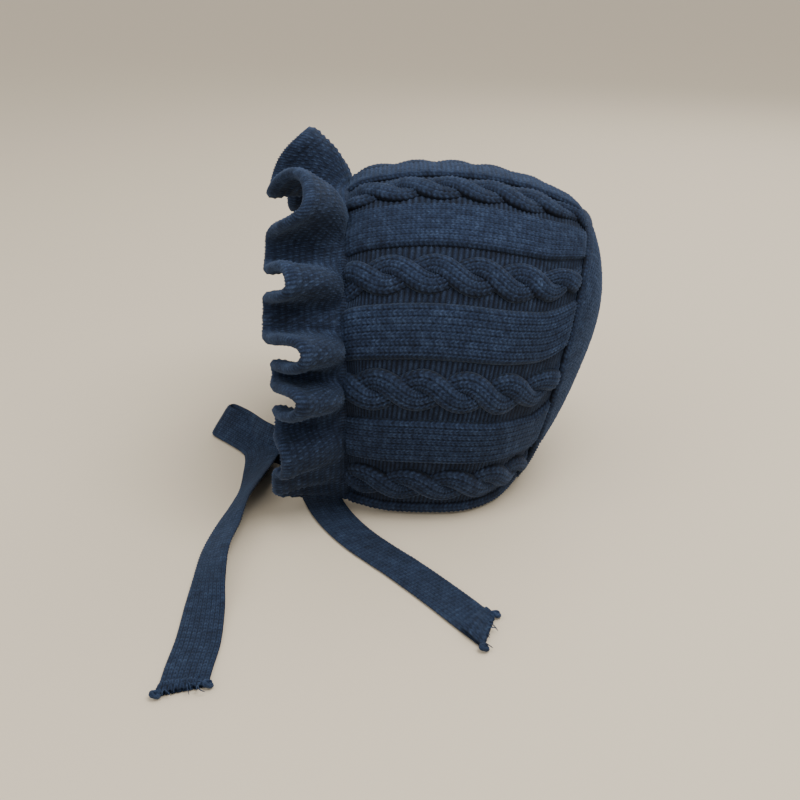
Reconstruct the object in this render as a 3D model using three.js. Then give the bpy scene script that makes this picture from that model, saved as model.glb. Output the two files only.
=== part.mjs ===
// A knitted baby bonnet that stands on its neck edge, in millimetres.
// +Z is up, the face opening looks along -X, the wearer's left is -Y.
// The origin is on the table, under the middle of the bonnet without its ties.
import * as THREE from "three";

// Driving dimensions.
const CROWN_WALL = 2.6; // cabled knit
const PANEL_WALL = 2.4; // plain knit
const RUFFLE_WALL = 3.6; // two layers, sewn as one
const RUFFLE_DEPTH = 31; // from the seam to the free edge
const ROOT_FLARE = 1.5; // a flute leans out this many times its flare at the seam
const RETURN_FLARE = 1.05; // and turns back by this many times its flare at the free edge
const MEANDER = 0.2; // how far a fold swings between two flutes, in shares of their spacing
const TIE_WALL = 1.6; // ribbed strip, one layer
const TIE_WIDTH = 17;
const TIE_REST = 0.9; // height of the middle of a tie that lies on the table
const SEAM_GAP = 0.35; // between sewn pieces
const CORNER_LIFT = 2.8; // the front corners of the neck edge stand off the table
const CORNER_LENGTH = 20; // and come down to it over this length
const NAPE_LIMIT = 0.94; // the cosine at which the crown's own edge ends at the nape
const EDGE_PULL = 6; // how closely to the neck edge its pull on the wales stays
const KNIT_BLUE = 0x2c4668;
const KNIT_ROUGHNESS = 0.95;

// The head form in upright sections from the ruffle seam to the back pole. Each is an ellipse:
// its place, the heights of its top and bottom, half its width, and how far round it, in degrees
// from the top, the crown's wales spread.
const FORM = [
  { x: -45.5, top: 132.5, bottom: -31, half: 78, wrap: 126 },
  { x: -38.0, top: 136.5, bottom: -35, half: 81.5, wrap: 125 },
  { x: -26.0, top: 139.0, bottom: -39, half: 84, wrap: 124 },
  { x: -10.0, top: 140.5, bottom: -41, half: 85.2, wrap: 124 },
  { x: 6.0, top: 140.2, bottom: -39, half: 84.5, wrap: 126 },
  { x: 20.0, top: 138.6, bottom: -29, half: 80, wrap: 132 },
  { x: 32.5, top: 136.0, bottom: -11, half: 72, wrap: 142 },
  { x: 44.0, top: 132.2, bottom: 6, half: 63, wrap: 151 },
  { x: 54.0, top: 127.8, bottom: 24, half: 53, wrap: 156 },
  { x: 62.0, top: 122.0, bottom: 43, half: 43, wrap: 160 },
  { x: 68.3, top: 113.0, bottom: 60, half: 31, wrap: 161 },
  { x: 72.0, top: 100.0, bottom: 74, half: 16, wrap: 161 },
  { x: 73.2, top: 87.0, bottom: 87, half: 0, wrap: 161 },
];

// The crown's back seam: how far back it lies, at shares of the way from the top to the neck edge.
const BACK_SEAM = [
  { share: 0.0, x: 65.0 },
  { share: 0.15, x: 64.0 },
  { share: 0.3, x: 62.0 },
  { share: 0.5, x: 56.0 },
  { share: 0.7, x: 48.0 },
  { share: 0.85, x: 41.0 },
  { share: 1.0, x: 34.0 },
];

// Cables on the crown, counted from the top to each neck edge, in degrees round the form.
const CABLES = [16.8, 50, 82.5, 113];
const CABLE_RELIEF = [
  { offset: -8.8, lift: 0.0 },
  { offset: -6.6, lift: -0.9 },
  { offset: -4.2, lift: 0.8 },
  { offset: 0.0, lift: 1.3 },
  { offset: 4.2, lift: 0.8 },
  { offset: 6.6, lift: -0.9 },
  { offset: 8.8, lift: 0.0 },
];

// The ruffle's flutes, from the left neck corner over the top to the right one.
// angle: place on the seam, in degrees from the top, left negative.
// flare: 0 points straight forward, 90 stands straight out. sway: the free edge's slip along the seam.
const FLUTES = [
  { angle: -126, flare: 2, sway: 4, depth: 0.8 },
  { angle: -118, flare: 8, sway: 2, depth: 0.95 },
  { angle: -108, flare: 26, sway: 0, depth: 1.0 },
  { angle: -99, flare: 40, sway: 0, depth: 0.96 },
  { angle: -91, flare: 4, sway: 0, depth: 0.86 },
  { angle: -84, flare: 62, sway: 3, depth: 1.02 },
  { angle: -78, flare: 5, sway: 1, depth: 0.88 },
  { angle: -71, flare: 66, sway: -1, depth: 1.0 },
  { angle: -64, flare: 8, sway: 0, depth: 1.0 },
  { angle: -59, flare: 4, sway: 1, depth: 1.0 },
  { angle: -52, flare: 50, sway: -5, depth: 0.98 },
  { angle: -43, flare: 4, sway: 1, depth: 1.0 },
  { angle: -28, flare: 66, sway: -11, depth: 1.02 },
  { angle: -9, flare: 4, sway: 3, depth: 1.06 },
  { angle: 3, flare: 58, sway: 2, depth: 1.0 },
  { angle: 16, flare: 5, sway: 0, depth: 1.0 },
  { angle: 29, flare: 62, sway: 8, depth: 1.0 },
  { angle: 44, flare: 6, sway: -2, depth: 1.0 },
  { angle: 55, flare: 52, sway: 5, depth: 1.0 },
  { angle: 66, flare: 8, sway: 0, depth: 1.0 },
  { angle: 77, flare: 64, sway: 4, depth: 1.0 },
  { angle: 87, flare: 6, sway: -1, depth: 0.92 },
  { angle: 97, flare: 54, sway: 1, depth: 0.95 },
  { angle: 107, flare: 10, sway: 0, depth: 0.95 },
  { angle: 117, flare: 26, sway: 0, depth: 0.92 },
  { angle: 126, flare: 2, sway: -4, depth: 0.8 },
];

// The ties, as both edges of the strip at each row, from the sewn end to the cut end.
const LEFT_TIE = [
  { low: [-47.5, -56.0, 4.6], high: [-47.5, -59.0, 21.0] },
  { low: [-56.5, -46.5, 4.0], high: [-54.5, -46.5, 20.6] },
  { low: [-66.5, -35.5, 2.8], high: [-62.5, -33.0, 19.0] },
  { low: [-79.0, -23.5, 1.4], high: [-73.5, -19.5, 17.0] },
  { low: [-92.5, -9.5, 0.9], high: [-86.0, -4.5, 15.5] },
  { low: [-104.5, 4.5, 0.9], high: [-96.5, 11.0, 14.8] },
  { low: [-113.5, 14.8, 0.9], high: [-105.0, 20.8, 14.4] },
  { low: [-116.4, 14.6, 0.9], high: [-107.6, 20.8, 14.4] },
  { low: [-116.2, 11.8, 0.9], high: [-107.2, 18.0, 14.2] },
  { low: [-107.2, 1.4, 0.9], high: [-97.0, 8.2, 13.0] },
  { low: [-98.6, -9.4, 0.9], high: [-83.5, -5.0, 10.6] },
  { low: [-96.2, -17.5, 0.9], high: [-78.5, -16.5, 8.4] },
  { low: [-95.2, -31.5, 0.9], high: [-79.5, -28.5, 7.6] },
  { low: [-94.4, -51.0, 0.9], high: [-82.6, -56.0, 11.4] },
  { low: [-96.4, -67.2, 0.9], high: [-86.4, -75.2, 11.4] },
  { low: [-100.2, -86.3, 0.9], high: [-87.8, -94.0, 9.0] },
  { low: [-102.6, -106.6, 0.9], high: [-89.6, -113.4, 8.4] },
  { low: [-102.6, -127.6, 0.9], high: [-88.2, -135.0, 6.0] },
  { low: [-102.4, -146.2, 0.9], high: [-86.4, -149.6, 2.4] },
  { low: [-101.8, -167.7, 0.9], high: [-85.0, -169.6, 0.9] },
  { low: [-102.4, -184.0, 0.9], high: [-85.4, -184.4, 0.9] },
  { low: [-102.4, -200.4, 0.9], high: [-85.6, -194.6, 0.9] },
];

// The right tie's two edges where it leaves the seam and turns down to lie flat.
const RIGHT_ROOT = [
  { low: [-47.5, 56.0, 4.6], high: [-47.5, 59.0, 21.0] },
  { low: [-56.5, 46.5, 4.0], high: [-54.5, 46.5, 20.6] },
  { low: [-65.0, 36.0, 2.0], high: [-59.0, 37.5, 17.4] },
  { low: [-71.5, 24.0, 1.3], high: [-58.8, 25.8, 12.0] },
  { low: [-74.6, 11.0, 1.2], high: [-58.8, 12.2, 5.6] },
  { low: [-75.3, -1.0, 1.0], high: [-58.5, -0.6, 1.6] },
];

// The rest of the right tie lies flat, so it has only the line of its middle.
const RIGHT_TIE = [
  { x: -66.0, y: -11.0 },
  { x: -64.5, y: -20.0 },
  { x: -60.0, y: -43.0 },
  { x: -54.5, y: -62.0 },
  { x: -49.2, y: -75.4 },
  { x: -43.4, y: -86.5 },
  { x: -36.7, y: -97.0 },
  { x: -28.6, y: -107.5 },
  { x: -20.2, y: -117.8 },
  { x: -11.4, y: -129.5 },
  { x: -3.1, y: -141.0 },
  { x: 4.4, y: -152.0 },
  { x: 11.0, y: -161.5 },
];

// Steps of the faceted walls.
const CROWN_STEPS_LONG = 18;
const RUFFLE_STEPS_DEEP = 5;
const RUFFLE_STEPS_A_FLUTE = 4;
const PANEL_STEPS_NAPE = 4;
const PANEL_STEPS_DEEP = 7;
const TIE_STEPS_A_ROW = 3;

const FORM_ROWS = FORM.length - 1;

// A smooth value of one column of an evenly numbered table, at a place between its rows.
function smoothColumn(table, column, place) {
  const last = table.length - 1;
  const at = Math.min(Math.max(place, 0), last);
  const row = Math.min(Math.floor(at), last - 1);
  const t = at - row;
  const value = (i) => table[Math.min(Math.max(i, 0), last)][column];
  const before = row > 0 ? value(row - 1) : 2 * value(0) - value(1);
  const after = row + 2 <= last ? value(row + 2) : 2 * value(last) - value(last - 1);
  const [a, b] = [value(row), value(row + 1)];
  const slopeA = (b - before) / 2;
  const slopeB = (after - a) / 2;
  const t2 = t * t;
  const t3 = t2 * t;
  return a * (2 * t3 - 3 * t2 + 1) + slopeA * (t3 - 2 * t2 + t) + b * (3 * t2 - 2 * t3) + slopeB * (t3 - t2);
}

// The place between a table's rows where its key column, which only rises, has the given value.
function placeOf(table, key, value) {
  const last = table.length - 1;
  const row = Math.max(0, table.findIndex((r, i) => i < last && value <= table[i + 1][key]));
  const at = value > table[last][key] ? last - 1 : row;
  return at + (value - table[at][key]) / (table[at + 1][key] - table[at][key]);
}

// Between rows that turn from one to the next, such as the flutes: level at every row.
function easedColumn(table, key, column, value) {
  const place = Math.min(Math.max(placeOf(table, key, value), 0), table.length - 1);
  const row = Math.min(Math.floor(place), table.length - 2);
  const ease = (1 - Math.cos(Math.PI * (place - row))) / 2;
  return table[row][column] + (table[row + 1][column] - table[row][column]) * ease;
}

// One section of the head form, at a place between the table's rows.
function section(place) {
  const x = smoothColumn(FORM, "x", place);
  const top = smoothColumn(FORM, "top", place);
  const bottom = smoothColumn(FORM, "bottom", place);
  const half = Math.max(smoothColumn(FORM, "half", place), 0);
  return { x, middle: (top + bottom) / 2, rise: Math.max((top - bottom) / 2, 0), half };
}

// A point of the head form, angle in radians from the top towards the wearer's right.
function formPoint(place, angle) {
  const s = section(place);
  return new THREE.Vector3(s.x, s.half * Math.sin(angle), s.middle + s.rise * Math.cos(angle));
}

function formNormal(place, angle) {
  const step = 0.02;
  const back = formPoint(Math.min(place + step, FORM_ROWS - step), angle);
  const along = back.sub(formPoint(Math.min(place, FORM_ROWS - 2 * step) - step, angle));
  const round = formPoint(place, angle + step).sub(formPoint(place, angle - step));
  return along.cross(round).normalize();
}

// The form's place at a distance back along X.
function placeAtX(x) {
  let [low, high] = [0, FORM_ROWS];
  for (let i = 0; i < 40; i += 1) {
    const middle = (low + high) / 2;
    if (smoothColumn(FORM, "x", middle) < x) low = middle;
    else high = middle;
  }
  return (low + high) / 2;
}

// How far round the form the neck edge lies.
function neckAngle(place) {
  const s = section(place);
  const near = Math.max(0, 1 - (s.x - FORM[0].x) / CORNER_LENGTH);
  const height = CORNER_LIFT * near * near * (3 - 2 * near);
  return Math.acos(Math.max((height - s.middle) / s.rise, -NAPE_LIMIT));
}

// The angle of a wale, by its share of the way from the top to the neck edge.
function waleAngle(share, place) {
  const wrap = THREE.MathUtils.degToRad(smoothColumn(FORM, "wrap", place));
  const pull = (neckAngle(place) - wrap) * Math.abs(share) ** EDGE_PULL;
  return share * wrap + Math.sign(share) * pull;
}

// Where the crown's back seam crosses the wale at a share of the way down.
function seamPlace(share) {
  const at = placeOf(BACK_SEAM, "share", Math.min(Math.abs(share), 1));
  return placeAtX(smoothColumn(BACK_SEAM, "x", at));
}

// A closed wall from two matching grids of points. A loop joins its last column to its first,
// and a tip ends in one point instead of a last row.
function wall(outer, inner, { loop = false, tip = false } = {}) {
  const points = [];
  const faces = [];
  const number = (grid) => grid.map((row) => row.map((p) => points.push(p) - 1));
  const o = number(outer);
  const n = number(inner);
  const wide = outer[0].length;
  const columns = loop ? wide : wide - 1;
  const quad = (a, b, c, d) => faces.push([a, c, b], [a, d, c]);
  const rows = tip ? outer.length - 1 : outer.length;
  for (let i = 0; i + 1 < rows; i += 1) {
    for (let j = 0; j < columns; j += 1) {
      const k = (j + 1) % wide;
      quad(o[i][j], o[i][k], o[i + 1][k], o[i + 1][j]);
      quad(n[i][j], n[i + 1][j], n[i + 1][k], n[i][k]);
    }
  }
  for (let j = 0; j < columns; j += 1) {
    const k = (j + 1) % wide;
    quad(o[0][j], n[0][j], n[0][k], o[0][k]);
    if (tip) {
      faces.push([o[rows - 1][k], o[rows - 1][j], o[rows][0]]);
      faces.push([n[rows - 1][j], n[rows - 1][k], n[rows][0]]);
    } else {
      quad(o[rows - 1][j], o[rows - 1][k], n[rows - 1][k], n[rows - 1][j]);
    }
  }
  if (!loop) {
    for (let i = 0; i + 1 < rows; i += 1) {
      quad(o[i][0], o[i + 1][0], n[i + 1][0], n[i][0]);
      quad(o[i][wide - 1], n[i][wide - 1], n[i + 1][wide - 1], o[i + 1][wide - 1]);
    }
  }
  const geometry = new THREE.BufferGeometry();
  const flat = points.flatMap((p) => [p.x, p.y, p.z]);
  geometry.setAttribute("position", new THREE.Float32BufferAttribute(flat, 3));
  geometry.setIndex(faces.flat());
  geometry.computeVertexNormals();
  return geometry;
}

// The columns round the crown: gutters, cable ridges and plain panels, as shares of the neck angle.
function crownColumns() {
  const neck = FORM[0].wrap;
  const rightHalf = CABLES.flatMap((cable) =>
    CABLE_RELIEF.map(({ offset, lift }) => ({ share: (cable + offset) / neck, lift })),
  );
  const right = [...rightHalf, { share: 1, lift: 0 }];
  const left = right.map(({ share, lift }) => ({ share: -share, lift })).reverse();
  return [...left, { share: 0, lift: 0 }, ...right];
}

function crown() {
  const outer = [];
  const inner = [];
  const columns = crownColumns();
  for (let i = 0; i <= CROWN_STEPS_LONG; i += 1) {
    const t = i / CROWN_STEPS_LONG;
    const fade = Math.min(1, 4 * (1 - t)) * Math.min(1, 6 * t);
    const outerRow = [];
    const innerRow = [];
    columns.forEach(({ share, lift }) => {
      const place = seamPlace(share) * t;
      const angle = waleAngle(share, place);
      const normal = formNormal(place, angle);
      const skin = formPoint(place, angle);
      const edge = Math.abs(share) === 1;
      const outside = skin.clone().addScaledVector(normal, lift * fade);
      const inside = skin.clone().addScaledVector(normal, -CROWN_WALL);
      if (edge) inside.z = skin.z;
      if (i === 0) {
        inside.x = skin.x;
        outside.x = skin.x;
      }
      outerRow.push(outside);
      innerRow.push(inside);
    });
    outer.push(outerRow);
    inner.push(innerRow);
  }
  return wall(outer, inner);
}

// The columns of the back panel's rim, once round: the crown's seam, then the neck edge at the nape.
function panelRim() {
  const columns = [];
  crownColumns().forEach(({ share }) => {
    const place = seamPlace(share);
    columns.push({ angle: waleAngle(share, place), place, atNape: false });
  });
  const corner = columns[columns.length - 1].angle;
  for (let j = 1; j < PANEL_STEPS_NAPE; j += 1) {
    const angle = corner + (2 * (Math.PI - corner) * j) / PANEL_STEPS_NAPE;
    let [low, high] = [seamPlace(1), FORM_ROWS - 1];
    for (let i = 0; i < 40; i += 1) {
      const middle = (low + high) / 2;
      if (formPoint(middle, angle).z < 0) low = middle;
      else high = middle;
    }
    columns.push({ angle, place: (low + high) / 2, atNape: true });
  }
  return columns;
}

function backPanel() {
  const outer = [];
  const inner = [];
  const rim = panelRim();
  const step = 0.05;
  for (let i = 0; i < PANEL_STEPS_DEEP; i += 1) {
    const outerRow = [];
    const innerRow = [];
    rim.forEach(({ angle, place, atNape }) => {
      const length = formPoint(place + step, angle).distanceTo(formPoint(place, angle)) / step;
      const start = place + (atNape ? 0 : SEAM_GAP / length);
      const at = start + (FORM_ROWS - start) * (i / PANEL_STEPS_DEEP);
      const skin = formPoint(at, angle);
      const inside = skin.clone().addScaledVector(formNormal(at, angle), -PANEL_WALL);
      if (i === 0 && atNape) inside.z = skin.z;
      outerRow.push(skin);
      innerRow.push(inside);
    });
    outer.push(outerRow);
    inner.push(innerRow);
  }
  const tip = formPoint(FORM_ROWS, 0);
  outer.push([tip]);
  inner.push([tip.clone().setX(tip.x - PANEL_WALL)]);
  return wall(outer, inner, { loop: true, tip: true });
}

// How far a fold between two flutes swings along the seam.
function meander(degrees) {
  const place = Math.min(Math.max(placeOf(FLUTES, "angle", degrees), 0), FLUTES.length - 1);
  const row = Math.min(Math.floor(place), FLUTES.length - 2);
  const spacing = THREE.MathUtils.degToRad(FLUTES[row + 1].angle - FLUTES[row].angle) * FORM[0].half;
  return MEANDER * spacing * Math.sin(2 * Math.PI * (place - row));
}

// The middle of the ruffle's wall: angle in degrees round the seam, q from the seam to the free edge.
function rufflePoint(degrees, q) {
  const flare = THREE.MathUtils.degToRad(easedColumn(FLUTES, "angle", "flare", degrees));
  const sway = easedColumn(FLUTES, "angle", "sway", degrees);
  const depth = RUFFLE_DEPTH * easedColumn(FLUTES, "angle", "depth", degrees);
  const angle = THREE.MathUtils.degToRad(degrees);
  const seam = formPoint(0, angle);
  const out = formNormal(0.4, angle).setX(0).normalize();
  const along = new THREE.Vector3(0, Math.cos(angle), -Math.sin(angle));
  const first = ROOT_FLARE * flare;
  const turn = -RETURN_FLARE * flare - 0.05;
  const forward = (depth * (Math.sin(first + turn * q) - Math.sin(first))) / turn;
  const outward = (depth * (Math.cos(first) - Math.cos(first + turn * q))) / turn;
  const point = seam.clone().addScaledVector(out, outward - RUFFLE_WALL / 2);
  point.addScaledVector(along, (sway + meander(degrees)) * Math.max(q, 0) ** 1.6);
  point.x = seam.x - SEAM_GAP - forward;
  const floor = RUFFLE_WALL / 2 + 0.02;
  const ground = 4;
  const above = point.z - floor;
  point.z = floor + (above + Math.sqrt(above * above + ground)) / 2;
  return point;
}

function ruffle() {
  const outer = [];
  const inner = [];
  const steps = (FLUTES.length - 1) * RUFFLE_STEPS_A_FLUTE;
  const at = (j) => {
    const row = Math.min(Math.floor(j / RUFFLE_STEPS_A_FLUTE), FLUTES.length - 2);
    const t = j / RUFFLE_STEPS_A_FLUTE - row;
    return FLUTES[row].angle + (FLUTES[row + 1].angle - FLUTES[row].angle) * t;
  };
  const [nudge, dip] = [0.4, 0.02];
  const root = FORM[0].x - SEAM_GAP;
  for (let i = 0; i <= RUFFLE_STEPS_DEEP; i += 1) {
    const q = i / RUFFLE_STEPS_DEEP;
    const outerRow = [];
    const innerRow = [];
    for (let j = 0; j <= steps; j += 1) {
      const degrees = at(j);
      const middle = rufflePoint(degrees, q);
      const round = rufflePoint(degrees + nudge, q).sub(rufflePoint(degrees - nudge, q));
      const deep = rufflePoint(degrees, q + dip).sub(rufflePoint(degrees, q - dip));
      const normal = round.cross(deep).normalize();
      const outside = middle.clone().addScaledVector(normal, RUFFLE_WALL / 2);
      const inside = middle.clone().addScaledVector(normal, -RUFFLE_WALL / 2);
      outside.x = i === 0 ? middle.x : Math.min(outside.x, root);
      inside.x = i === 0 ? middle.x : Math.min(inside.x, root);
      outerRow.push(outside);
      innerRow.push(inside);
    }
    outer.push(outerRow.reverse());
    inner.push(innerRow.reverse());
  }
  return wall(outer, inner);
}

// Both edges of a strip that lies flat on the table along a middle line.
function flatEdges(rows) {
  const line = new THREE.CatmullRomCurve3(rows.map((r) => new THREE.Vector3(r.x, r.y, TIE_REST)));
  return rows.map((row, i) => {
    const run = line.getTangent(i / (rows.length - 1));
    const side = new THREE.Vector3(-run.y, run.x, 0).setLength(TIE_WIDTH / 2);
    const middle = new THREE.Vector3(row.x, row.y, TIE_REST);
    return { low: middle.clone().sub(side).toArray(), high: middle.clone().add(side).toArray() };
  });
}

// A strip that follows both of its edges.
function tie(rows) {
  const edge = (name) => new THREE.CatmullRomCurve3(rows.map((r) => new THREE.Vector3(...r[name])));
  const [low, high] = [edge("low"), edge("high")];
  const steps = (rows.length - 1) * TIE_STEPS_A_ROW;
  const outer = [];
  const inner = [];
  for (let i = 0; i <= steps; i += 1) {
    const t = i / steps;
    const [a, b] = [low.getPoint(t), high.getPoint(t)];
    const run = low.getTangent(t).add(high.getTangent(t));
    const normal = b.clone().sub(a).cross(run).normalize();
    outer.push([b, a].map((p) => p.clone().addScaledVector(normal, TIE_WALL / 2)));
    inner.push([b, a].map((p) => p.clone().addScaledVector(normal, -TIE_WALL / 2)));
  }
  return wall(outer, inner);
}

function piece(name, geometry) {
  const finish = new THREE.MeshStandardMaterial({ color: KNIT_BLUE, roughness: KNIT_ROUGHNESS, metalness: 0 });
  const mesh = new THREE.Mesh(geometry, finish);
  mesh.name = name;
  return mesh;
}

const bonnet = new THREE.Group();
bonnet.add(piece("crown", crown()));
bonnet.add(piece("back_panel", backPanel()));
bonnet.add(piece("ruffle", ruffle()));
const body = new THREE.Box3().setFromObject(bonnet);
bonnet.add(piece("tie_left", tie(LEFT_TIE)));
bonnet.add(piece("tie_right", tie([...RIGHT_ROOT, ...flatEdges(RIGHT_TIE)])));
bonnet.position.set(-(body.min.x + body.max.x) / 2, -(body.min.y + body.max.y) / 2, 0);

export default bonnet;
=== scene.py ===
"""A knitted baby bonnet that stands on its neck edge, with its two ties lying on the table.

The crown is a plain ground sheet with raised strips of stitches and twisted cable strands laid on it.
The back panel, the ruffle and the ties are sheets of their own. Sizes are in millimetres until a
mesh is made, which is in metres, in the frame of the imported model.
"""
import math

import bpy
import numpy as np
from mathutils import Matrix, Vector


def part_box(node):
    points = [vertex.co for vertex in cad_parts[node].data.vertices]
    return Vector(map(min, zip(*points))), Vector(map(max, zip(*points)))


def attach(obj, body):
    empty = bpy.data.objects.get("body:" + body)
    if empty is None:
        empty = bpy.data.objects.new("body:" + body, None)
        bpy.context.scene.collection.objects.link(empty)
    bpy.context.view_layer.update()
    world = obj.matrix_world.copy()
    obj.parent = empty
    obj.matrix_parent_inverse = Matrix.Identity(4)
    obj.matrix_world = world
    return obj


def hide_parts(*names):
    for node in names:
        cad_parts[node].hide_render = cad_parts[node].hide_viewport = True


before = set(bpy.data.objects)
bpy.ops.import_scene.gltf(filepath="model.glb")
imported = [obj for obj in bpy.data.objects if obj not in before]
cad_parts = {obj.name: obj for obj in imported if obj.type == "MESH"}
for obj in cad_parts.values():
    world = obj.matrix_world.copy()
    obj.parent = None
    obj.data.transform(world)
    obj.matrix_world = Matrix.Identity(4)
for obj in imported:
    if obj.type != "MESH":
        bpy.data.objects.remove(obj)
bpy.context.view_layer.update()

MM = 0.001
RNG = np.random.default_rng(7)

# Where the bonnet's own axis lies in the frame: the crown starts this far in front of it.
CROWN_FRONT = -45.5
crown_low, crown_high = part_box("crown")
SHIFT = np.array([crown_low.x / MM - CROWN_FRONT, (crown_low.y + crown_high.y) / 2 / MM, 0.0])

# Walls, and how far the ruffle stands out from its seam.
CROWN_WALL = 2.6
PANEL_WALL = 2.2
RUFFLE_WALL = 3.4
RUFFLE_DEPTH = 31.0

# The neck edge: lifted at the front corners, and tucked in towards the nape.
CORNER_LIFT = 2.8
CORNER_LENGTH = 20.0
NAPE_LIMIT = 0.94
EDGE_PULL = 6

# The gathers behind the front seam: how many, how high, and how far back they reach.
PUCKERS = 62
PUCKER_RISE = 0.6
PUCKER_REACH = 0.05

# Knit: the length of a stitch, the slant of its legs, and its relief.
ROW = 2.05
V_SLANT = 0.55
STITCH_RELIEF = 0.46
UNEVEN_STITCHES = 0.14

# The crown's sunken ground, and how far the strips and strands reach into it.
CROWN_WALES = 143
GROUND_DEPTH = 1.9
STRIP_ROOT = 0.6

# A cable: half a twist's length, the swing of its strands, and their half width.
CABLE_PITCH = 18.8
CABLE_SWING = 4.4
STRAND_HALF = 5.0
STRAND_WALES = 3
STRAND_DEPTH = 3.1

# The ruffle's flutes: how they lean at the seam and turn back, and the meander between two.
ROOT_FLARE = 1.5
RETURN_FLARE = 1.05
MEANDER = 0.2
RUFFLE_WALES = 600
RUFFLE_ROWS = 24
SEED_RELIEF = 0.42
SEAM_LAP = 0.8

# The round of stitches over the front seam.
SEAM_CORD = 1.5
SEAM_STITCH = 1.4

# The back panel's middle height, its stitches, and the ridge round it.
PANEL_MIDDLE = 52
PANEL_WALES = 46
PANEL_ROWS = 60
RIDGE_HALF = 2.5
RIDGE_BACK = 1.3
RIDGE_RISE = 2.1
RIDGE_WALES = 2

# The ties, their turned hems, and the yarn at their cut ends.
TIE_WALL = 1.6
TIE_WIDTH = 17.0
TIE_REST = 0.9
TIE_WALES = 9
TIE_RELIEF = 0.26
HEM_WALL = 1.3
HEM_LAP = 2
SLANT_STEPS = 22
FRAY_STRANDS = 14
KNOT_YARN = 0.62
FRAY_YARN = 0.2

# Nothing comes nearer the table than this, and a mesh's hole of more sides is left as it is.
TABLE_CLEAR = 0.04
FILL_SIDES = 60

# The head form in upright sections, from the ruffle seam to the back pole:
# x, top, bottom, half width, and how far round it the crown's wales spread, in degrees.
FORM = np.array([
    (-45.5, 132.5, -31, 78, 126),
    (-38.0, 136.5, -35, 81.5, 125),
    (-26.0, 139.0, -39, 84, 124),
    (-10.0, 140.5, -41, 85.2, 124),
    (6.0, 140.2, -39, 84.5, 126),
    (20.0, 138.6, -29, 80, 132),
    (32.5, 136.0, -11, 72, 142),
    (44.0, 132.2, 6, 63, 151),
    (54.0, 127.8, 24, 53, 156),
    (62.0, 122.0, 43, 43, 160),
    (68.3, 113.0, 60, 31, 161),
    (72.0, 100.0, 74, 16, 161),
    (73.2, 87.0, 87, 0, 161),
], float)
FORM_X, FORM_TOP, FORM_BOTTOM, FORM_HALF, FORM_WRAP = FORM.T
LAST_ROW = len(FORM) - 1

# The crown's back seam: share of the way down from the top, and how far back it lies.
BACK_SEAM = np.array([
    (0.0, 65.0),
    (0.15, 64.0),
    (0.3, 62.0),
    (0.5, 56.0),
    (0.7, 48.0),
    (0.85, 41.0),
    (1.0, 34.0),
])

# The cables, in degrees round the front seam, and half the width of the gutter that holds one.
CABLES = (16.8, 50.0, 82.5, 113.0)
GUTTER_HALF = 8.9

# The ruffle's flutes: angle round the seam, flare, sway of the free edge, share of the depth.
FLUTES = np.array([
    (-126, 2, 4, 0.8),
    (-118, 8, 2, 0.95),
    (-108, 26, 0, 1.0),
    (-99, 40, 0, 0.96),
    (-91, 4, 0, 0.86),
    (-84, 62, 3, 1.02),
    (-78, 5, 1, 0.88),
    (-71, 66, -1, 1.0),
    (-64, 8, 0, 1.0),
    (-59, 4, 1, 1.0),
    (-52, 50, -5, 0.98),
    (-43, 4, 1, 1.0),
    (-28, 66, -11, 1.02),
    (-9, 4, 3, 1.06),
    (3, 58, 2, 1.0),
    (16, 5, 0, 1.0),
    (29, 62, 8, 1.0),
    (44, 6, -2, 1.0),
    (55, 52, 5, 1.0),
    (66, 8, 0, 1.0),
    (77, 64, 4, 1.0),
    (87, 6, -1, 0.92),
    (97, 54, 1, 0.95),
    (107, 10, 0, 0.95),
    (117, 26, 0, 0.92),
    (126, 2, -4, 0.8),
], float)

# The left tie's two edges, low and high, from the sewn end to the cut end.
LEFT_TIE = np.array([
    (-47.5, -56.0, 4.6, -47.5, -59.0, 21.0),
    (-56.5, -46.5, 4.0, -54.5, -46.5, 20.6),
    (-66.5, -35.5, 2.8, -62.5, -33.0, 19.0),
    (-79.0, -23.5, 1.4, -73.5, -19.5, 17.0),
    (-92.5, -9.5, 0.9, -86.0, -4.5, 15.5),
    (-104.5, 4.5, 0.9, -96.5, 11.0, 14.8),
    (-113.5, 14.8, 0.9, -105.0, 20.8, 14.4),
    (-116.4, 14.6, 0.9, -107.6, 20.8, 14.4),
    (-116.2, 11.8, 0.9, -107.2, 18.0, 14.2),
    (-107.2, 1.4, 0.9, -97.0, 8.2, 13.0),
    (-98.6, -9.4, 0.9, -83.5, -5.0, 10.6),
    (-96.2, -17.5, 0.9, -78.5, -16.5, 8.4),
    (-95.2, -31.5, 0.9, -79.5, -28.5, 7.6),
    (-94.4, -51.0, 0.9, -82.6, -56.0, 11.4),
    (-96.4, -67.2, 0.9, -86.4, -75.2, 11.4),
    (-100.2, -86.3, 0.9, -87.8, -94.0, 9.0),
    (-102.6, -106.6, 0.9, -89.6, -113.4, 8.4),
    (-102.6, -127.6, 0.9, -88.2, -135.0, 6.0),
    (-102.4, -146.2, 0.9, -86.4, -149.6, 2.4),
    (-101.8, -167.7, 0.9, -85.0, -169.6, 0.9),
    (-102.4, -184.0, 0.9, -85.4, -184.4, 0.9),
    (-102.4, -200.4, 0.9, -85.6, -194.6, 0.9),
])

# The right tie's two edges where it leaves the seam and turns down to lie flat.
RIGHT_ROOT = np.array([
    (-47.5, 56.0, 4.6, -47.5, 59.0, 21.0),
    (-56.5, 46.5, 4.0, -54.5, 46.5, 20.6),
    (-65.0, 36.0, 2.0, -59.0, 37.5, 17.4),
    (-71.5, 24.0, 1.3, -58.8, 25.8, 12.0),
    (-74.6, 11.0, 1.2, -58.8, 12.2, 5.6),
    (-75.3, -1.0, 1.0, -58.5, -0.6, 1.6),
])

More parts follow.
